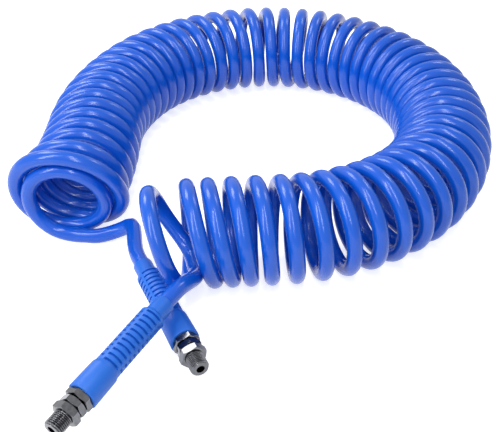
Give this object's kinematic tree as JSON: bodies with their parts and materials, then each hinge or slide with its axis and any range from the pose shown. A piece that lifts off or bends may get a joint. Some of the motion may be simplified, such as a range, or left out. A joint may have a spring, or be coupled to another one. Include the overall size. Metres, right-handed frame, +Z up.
{
  "type": "coiled air hose",
  "caption": "Spiral polyurethane air hose lying in a C, with a slotted bend sleeve and a swivelling male threaded fitting on each end.",
  "frame": {"origin": "middle of the lying hose's box in plan, on the floor it lies on", "axes": "+Z up; seen from the front, -Y side, the C of the coil opens toward the viewer's left and the two fittings point toward the viewer; +X to the viewer's right"},
  "size_m": [0.4082, 0.5522, 0.0865],
  "materials": {
    "hose": "glossy, slightly clear blue polyurethane",
    "sleeve": "satin blue moulded",
    "nickel": "bright nickel plate over turned brass",
    "washer": "matt black",
    "seal": "matt black",
    "spring_steel": "drawn wire"
  },
  "bodies": {
    "hose": {"hose_coil": "hose", "hose_tail_a": "hose", "hose_tail_b": "hose", "sleeve_a": "sleeve", "clamp_nut_a": "nickel", "insert_a": "nickel", "washer_a": "washer", "oring_a": "seal", "snap_ring_a": "spring_steel", "sleeve_b": "sleeve", "clamp_nut_b": "nickel", "insert_b": "nickel", "washer_b": "washer", "oring_b": "seal", "snap_ring_b": "spring_steel"},
    "swivel_a": {"swivel_a": "nickel"},
    "swivel_b": {"swivel_b": "nickel"}
  },
  "joints": [
    {"name": "swivel_a_spin", "type": "hinge", "parent": "hose", "child": "swivel_a", "pos_m": [-0.1207, -0.25913, 0.02037], "axis": [-0.5255, -0.8397, -0.1371], "continuous": true},
    {"name": "swivel_b_spin", "type": "hinge", "parent": "hose", "child": "swivel_b", "pos_m": [-0.05008, -0.19948, 0.01067], "axis": [0.4203, -0.9066, -0.0385], "continuous": true}
  ]
}
